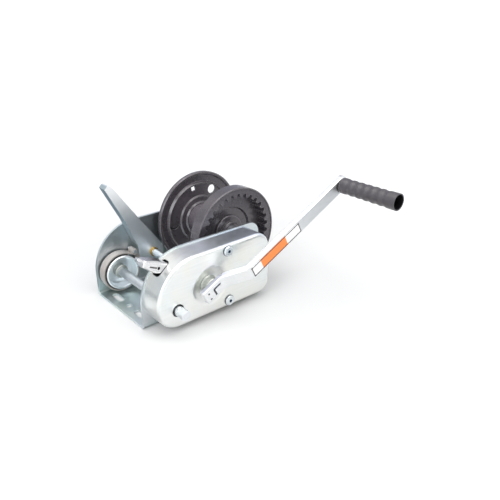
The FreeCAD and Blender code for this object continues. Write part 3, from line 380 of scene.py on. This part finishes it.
def printed(name, white, orange, dark, scuffed):
    """Printed film: white ends, orange middle and a thin dark outline."""
    s = Shader(name)
    slope = math.atan2(GRIP_PLACE.z - CRANK_PLACE.z, GRIP_PLACE.x - CRANK_PLACE.x)
    along = Vector((math.cos(slope), 0, math.sin(slope)))
    across = Vector((-math.sin(slope), 0, math.cos(slope)))
    points = [v.co - CRANK_PLACE for v in NODES["arm_label"].data.vertices]
    place = s.vector("SUBTRACT", s.coords, CRANK_PLACE)
    ways = []
    for direction in (along, across):
        reach = [p.dot(direction) for p in points]
        ways.append((s.vector("DOT_PRODUCT", place, direction), min(reach), max(reach)))
    outline = 0.0
    for value, low, high in ways:
        for line in (low + LABEL_GAP, high - LABEL_GAP):
            outline = s.math("MAXIMUM", outline, s.near_value(value, line, LABEL_RULE))
    share = s.span(*ways[0])
    start, end = LABEL_ORANGE
    middle = s.times(s.math("GREATER_THAN", share, start), s.math("LESS_THAN", share, end))
    paper = s.noise(scale=900.0)
    scuff = s.patches(scale=160.0, low=0.60, high=0.72, detail=5.0, rough=0.7)
    ends = s.blend(s.times(paper, 0.15), *white)
    colour = s.blend(middle, ends, s.blend(s.times(paper, 0.3), *orange))
    colour = s.blend(outline, colour, dark)
    colour = s.blend(s.times(scuff, 0.25), colour, scuffed)
    gloss = s.span(paper, *NOISE_SPAN, to_low=0.34, to_high=0.46)
    normal = s.bump(paper, strength=0.05, distance=0.0002)
    return s.done(Base_Color=colour, Roughness=gloss, Normal=normal)


LOOKS = {
    "zinc_frame": (plated, dict(
        base=(0.67, 0.71, 0.74), cool=(0.50, 0.63, 0.65), warm=(0.68, 0.74, 0.65),
        rough=0.36, tint=0.8, grain="X")),
    "zinc_cover": (plated, dict(
        base=(0.85, 0.85, 0.83), cool=(0.77, 0.82, 0.83), warm=(0.87, 0.84, 0.74),
        rough=0.32, tint=0.7, grain="X", painted_zones=(blue_top_painted_reflection,))),
    "zinc_arm": (plated, dict(
        base=(0.80, 0.81, 0.82), cool=(0.76, 0.80, 0.83), warm=(0.84, 0.83, 0.80),
        rough=0.36, grain="X", painted_zones=(arm_root_painted_shade,))),
    "zinc_lever": (plated, dict(
        base=(0.86, 0.91, 0.96), cool=(0.74, 0.84, 0.91), warm=(0.84, 0.88, 0.87),
        rough=0.42, grain="Z", painted_zones=(lever_flank_painted_shade, lever_tip_painted_light))),
    "zinc_drum": (plated, dict(
        base=(0.92, 0.96, 0.99), cool=(0.84, 0.92, 0.98), warm=(0.94, 0.95, 0.92),
        rough=0.40, tint=0.35, grain="Y")),
    "screw_steel": (plated, dict(
        base=(0.78, 0.81, 0.83), cool=(0.66, 0.75, 0.82), warm=(0.78, 0.78, 0.72),
        rough=0.28, painted_zones=(screw_recess_painted_shade,))),
    "dark_steel": (plated, dict(
        base=(0.10, 0.11, 0.12), cool=(0.08, 0.10, 0.13), warm=(0.13, 0.11, 0.10),
        rough=0.35)),
    "tab_chrome": (plated, dict(
        base=(0.76, 0.76, 0.77), cool=(0.68, 0.72, 0.77), warm=(0.82, 0.80, 0.74),
        rough=0.20, tint=0.3, painted_zones=(tab_groove_painted_shade,))),
    "steel": (turned, dict(base=(0.76, 0.79, 0.82), rough=0.34)),
    "bush_bronze": (turned, dict(base=(0.66, 0.48, 0.24), rough=0.36)),
    "bush_amber": (turned, dict(base=(0.54, 0.36, 0.13), rough=0.30)),
    "hub_cream": (turned, dict(base=(0.56, 0.58, 0.54), rough=0.46)),
    "dark_coat": (coated, dict(
        base=(0.072, 0.063, 0.073), rub_and_highlight=(0.34, 0.33, 0.34), rough=0.28)),
    "band_grey": (coated, dict(
        base=(0.42, 0.385, 0.365), rub_and_highlight=(0.56, 0.54, 0.52), rough=0.42)),
    "lining_grey": (woven, dict(
        base=(0.05, 0.045, 0.042), fleck=(0.30, 0.24, 0.16), rough=0.82)),
    "grip_plastic": (moulded, dict(base=(0.054, 0.049, 0.055), rough=0.40)),
    "label_film": (printed, dict(
        white=((0.86, 0.85, 0.84), (0.70, 0.69, 0.69)),
        orange=((0.90, 0.235, 0.045), (0.80, 0.19, 0.03)),
        dark=(0.02, 0.018, 0.022), scuffed=(0.55, 0.54, 0.53))),
}
MATERIALS = {name: make(name, **look) for name, (make, look) in LOOKS.items()}

for part in frame["record"]["subparts"]:
    for slot in NODES[part["node"]].material_slots:
        slot.material = MATERIALS[part["material_slot"]]


# ---- floor, world, lights and camera -----------------------------------------------
def floor_material():
    """Pale floor that lightens into a white backdrop away from the object."""
    s = Shader("pale_floor")
    colour = s.blend(s.times(s.noise(scale=3.0), 0.1), *FLOOR_SHADES)
    start, end, most = FLOOR_GLOW
    glow = s.span(s.vector("LENGTH", s.coords), start, end, to_high=most)
    return s.done(Base_Color=colour, Roughness=0.7, Emission_Color=(1.0, 1.0, 1.0),
                  Emission_Strength=glow)


bpy.ops.mesh.primitive_plane_add(size=FLOOR_SIZE, location=(0, 0, cad_low.z - FLOOR_DROP))
floor = bpy.context.object
floor.name = "floor"
floor.data.materials.append(floor_material())


def area_light(name, place, target, size, power, colour):
    data = bpy.data.lights.new(name, "AREA")
    data.shape = "RECTANGLE"
    data.size, data.size_y = size
    data.energy = power
    data.color = colour
    lamp = bpy.data.objects.new(name, data)
    lamp.location = place
    lamp.rotation_euler = (Vector(target) - Vector(place)).to_track_quat("-Z", "Y").to_euler()
    bpy.context.scene.collection.objects.link(lamp)


def card(name, centre, size, shade, turn):
    """Flat studio card that only shows in reflections."""
    bpy.ops.mesh.primitive_plane_add(size=1, location=centre, rotation=(0, 0, turn))
    sheet = bpy.context.object
    sheet.name = name
    sheet.scale = (*size, 1)
    sheet.data.materials.append(Shader(name).done(
        Base_Color=(0, 0, 0), Specular_IOR_Level=0, Emission_Color=shade, Emission_Strength=1))
    sheet.visible_camera = False
    sheet.visible_diffuse = False
    sheet.visible_shadow = False
    sheet.visible_transmission = False


for row in LIGHTS:
    area_light(*row)
for row in CARDS:
    card(*row)


def studio_world():
    """White studio with a dim blue-grey side behind the object and a softer left."""
    world = bpy.data.worlds.new("studio")
    world.use_nodes = True
    g = Graph(world.node_tree, "Generated")

    def toward(direction, start, end):
        dot = g.vector("DOT_PRODUCT", g.coords, Vector(direction).normalized())
        return g.span(dot, start, end, ease="SMOOTHSTEP")

    colour = g.blend(toward((0, 0, 1), *STUDIO_RISE), STUDIO_LOW, STUDIO_HIGH)
    for direction, start, full, side in STUDIO_SIDES:
        colour = g.blend(toward(direction, start, full), colour, side)
    # What the camera sees directly is plain white.
    seen = g.add("ShaderNodeLightPath").outputs["Is Camera Ray"]
    background = g.tree.nodes["Background"]
    g.feed(background.inputs["Color"], g.blend(seen, colour, (1, 1, 1)))
    g.feed(background.inputs["Strength"], 1.0)
    bpy.context.scene.world = world


studio_world()
bpy.context.scene.view_settings.view_transform = "Standard"

camera_data = bpy.data.cameras.new("camera")
camera_data.lens = LENS
camera_data.sensor_width = SENSOR
camera = bpy.data.objects.new("camera", camera_data)
camera.location = CAMERA_PLACE
camera.rotation_euler = (math.radians(90 - CAMERA_PITCH), 0, -math.radians(CAMERA_YAW))
bpy.context.scene.collection.objects.link(camera)
bpy.context.scene.camera = camera
